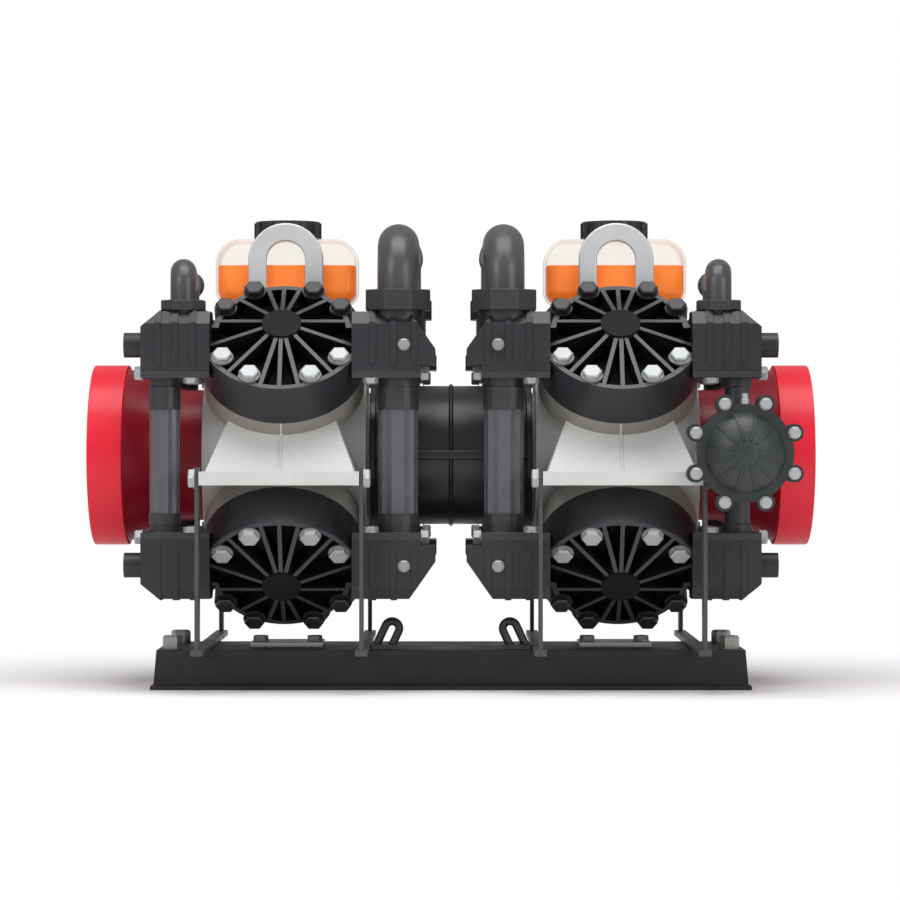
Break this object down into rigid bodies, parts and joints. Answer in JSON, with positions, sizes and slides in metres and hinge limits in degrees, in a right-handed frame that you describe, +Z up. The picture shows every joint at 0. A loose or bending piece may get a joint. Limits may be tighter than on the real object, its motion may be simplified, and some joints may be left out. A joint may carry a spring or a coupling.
{
  "type": "piston diaphragm pump",
  "caption": "Tandem piston diaphragm pump on a base rail: black ribbed heads at 45 degrees, bridge pipes, oil tanks, red shaft guards and a pulsation damper",
  "frame": {"origin": "centre of the rail's footprint on the ground, under the shafts", "axes": "+X along the shafts to the damper side, +Y to the rear where the hose tails point, +Z up"},
  "size_m": [0.71, 0.411, 0.4605],
  "materials": {
    "clear_tank": "smooth translucent",
    "orange_oil": "clear liquid",
    "black_plastic": "moulded, satin",
    "black_head": "moulded, satin",
    "case_metal": "fine cast, silver grey",
    "shaft_steel": "ground",
    "piston_alloy": "machined",
    "black_rubber": "moulded",
    "valve_plastic": "moulded",
    "red_plastic": "moulded, semi-gloss",
    "zinc_steel": "zinc plated",
    "black_paint": "powder coat, satin"
  },
  "bodies": {
    "pump_frame": {"air_valve": "shaft_steel", "base_channel": "black_paint", "bearing_covers": "case_metal", "coupling_guard": "black_plastic", "cross_bars": "black_paint", "cylinder_sleeves": "piston_alloy", "damper_body": "black_head", "damper_dome": "black_head", "damper_membrane": "black_rubber", "diaphragms": "black_rubber", "foot_plates": "zinc_steel", "left_crankcase": "case_metal", "left_delivery_manifolds": "black_plastic", "left_delivery_pipe": "black_plastic", "left_head_front_lower": "black_head", "left_head_front_upper": "black_head", "left_head_rear_lower": "black_head", "left_head_rear_upper": "black_head", "left_oil_tank": "clear_tank", "left_pto_guard": "red_plastic", "left_suction_manifolds": "black_plastic", "left_suction_pipe": "black_plastic", "lifting_eyes": "case_metal", "m10_bolts": "zinc_steel", "right_crankcase": "case_metal", "right_delivery_manifolds": "black_plastic", "right_delivery_pipe": "black_plastic", "right_head_front_lower": "black_head", "right_head_front_upper": "black_head", "right_head_rear_lower": "black_head", "right_head_rear_upper": "black_head", "right_oil_tank": "clear_tank", "right_pto_guard": "red_plastic", "right_suction_manifolds": "black_plastic", "right_suction_pipe": "black_plastic", "shaft_bearings": "shaft_steel", "shaft_seals": "black_rubber", "small_bolts": "zinc_steel", "support_legs": "black_paint", "tank_oil": "orange_oil", "tie_down_eyes": "zinc_steel", "union_nuts": "black_plastic", "valve_cages": "valve_plastic"},
    "left_shaft": {"coupling_sleeve": "shaft_steel", "left_crankshaft": "shaft_steel", "left_slipper_ring": "shaft_steel"},
    "left_front_lower_piston": {"left_piston_front_lower": "piston_alloy"},
    "left_front_upper_piston": {"left_piston_front_upper": "piston_alloy"},
    "left_rear_lower_piston": {"left_piston_rear_lower": "piston_alloy"},
    "left_rear_upper_piston": {"left_piston_rear_upper": "piston_alloy"},
    "left_cap": {"left_tank_cap": "black_plastic"},
    "left_valves": {"left_valve_discs": "valve_plastic"},
    "right_shaft": {"right_crankshaft": "shaft_steel", "right_slipper_ring": "shaft_steel"},
    "right_front_lower_piston": {"right_piston_front_lower": "piston_alloy"},
    "right_front_upper_piston": {"right_piston_front_upper": "piston_alloy"},
    "right_rear_lower_piston": {"right_piston_rear_lower": "piston_alloy"},
    "right_rear_upper_piston": {"right_piston_rear_upper": "piston_alloy"},
    "right_cap": {"right_tank_cap": "black_plastic"},
    "right_valves": {"right_valve_discs": "valve_plastic"}
  },
  "joints": [
    {"name": "left_shaft_turn", "type": "hinge", "parent": "pump_frame", "child": "left_shaft", "pos_m": [-0.163, 0, 0.228], "axis": [1, 0, 0], "continuous": true},
    {"name": "right_shaft_turn", "type": "hinge", "parent": "pump_frame", "child": "right_shaft", "pos_m": [0.163, 0, 0.228], "axis": [1, 0, 0], "continuous": true},
    {"name": "left_front_upper_stroke", "type": "slide", "parent": "pump_frame", "child": "left_front_upper_piston", "axis": [0, -0.7071, 0.7071], "range_m": [-0.01365, 0.00234], "deforming": ["diaphragms"]},
    {"name": "left_front_lower_stroke", "type": "slide", "parent": "pump_frame", "child": "left_front_lower_piston", "axis": [0, -0.7071, -0.7071], "range_m": [-0.00234, 0.01365], "deforming": ["diaphragms"]},
    {"name": "left_rear_upper_stroke", "type": "slide", "parent": "pump_frame", "child": "left_rear_upper_piston", "axis": [0, 0.7071, 0.7071], "range_m": [-0.01365, 0.00234], "deforming": ["diaphragms"]},
    {"name": "left_rear_lower_stroke", "type": "slide", "parent": "pump_frame", "child": "left_rear_lower_piston", "axis": [0, 0.7071, -0.7071], "range_m": [-0.00234, 0.01365], "deforming": ["diaphragms"]},
    {"name": "right_front_upper_stroke", "type": "slide", "parent": "pump_frame", "child": "right_front_upper_piston", "axis": [0, -0.7071, 0.7071], "range_m": [-0.01365, 0.00234], "deforming": ["diaphragms"]},
    {"name": "right_front_lower_stroke", "type": "slide", "parent": "pump_frame", "child": "right_front_lower_piston", "axis": [0, -0.7071, -0.7071], "range_m": [-0.00234, 0.01365], "deforming": ["diaphragms"]},
    {"name": "right_rear_upper_stroke", "type": "slide", "parent": "pump_frame", "child": "right_rear_upper_piston", "axis": [0, 0.7071, 0.7071], "range_m": [-0.01365, 0.00234], "deforming": ["diaphragms"]},
    {"name": "right_rear_lower_stroke", "type": "slide", "parent": "pump_frame", "child": "right_rear_lower_piston", "axis": [0, 0.7071, -0.7071], "range_m": [-0.00234, 0.01365], "deforming": ["diaphragms"]},
    {"name": "left_valve_lift", "type": "slide", "parent": "pump_frame", "child": "left_valves", "axis": [-1, 0, 0], "range_m": [0, 0.005], "stiffness_N_per_m": 100, "springref_m": -0.003},
    {"name": "right_valve_lift", "type": "slide", "parent": "pump_frame", "child": "right_valves", "axis": [1, 0, 0], "range_m": [0, 0.005], "stiffness_N_per_m": 100, "springref_m": -0.003},
    {"name": "left_cap_turn", "type": "hinge", "parent": "pump_frame", "child": "left_cap", "pos_m": [-0.163, 0, 0.455], "axis": [0, 0, 1], "range_deg": [0, 360]},
    {"name": "right_cap_turn", "type": "hinge", "parent": "pump_frame", "child": "right_cap", "pos_m": [0.163, 0, 0.455], "axis": [0, 0, 1], "range_deg": [0, 360]}
  ],
  "couplings": [
    {"joint": "right_shaft_turn", "follows": "left_shaft_turn", "ratio": 1},
    {"joint": "left_rear_lower_stroke", "follows": "left_front_upper_stroke", "ratio": -1},
    {"joint": "right_front_upper_stroke", "follows": "left_front_upper_stroke", "ratio": 1},
    {"joint": "right_rear_lower_stroke", "follows": "left_front_upper_stroke", "ratio": -1},
    {"joint": "left_front_lower_stroke", "follows": "left_rear_upper_stroke", "ratio": -1},
    {"joint": "right_rear_upper_stroke", "follows": "left_rear_upper_stroke", "ratio": 1},
    {"joint": "right_front_lower_stroke", "follows": "left_rear_upper_stroke", "ratio": -1}
  ]
}
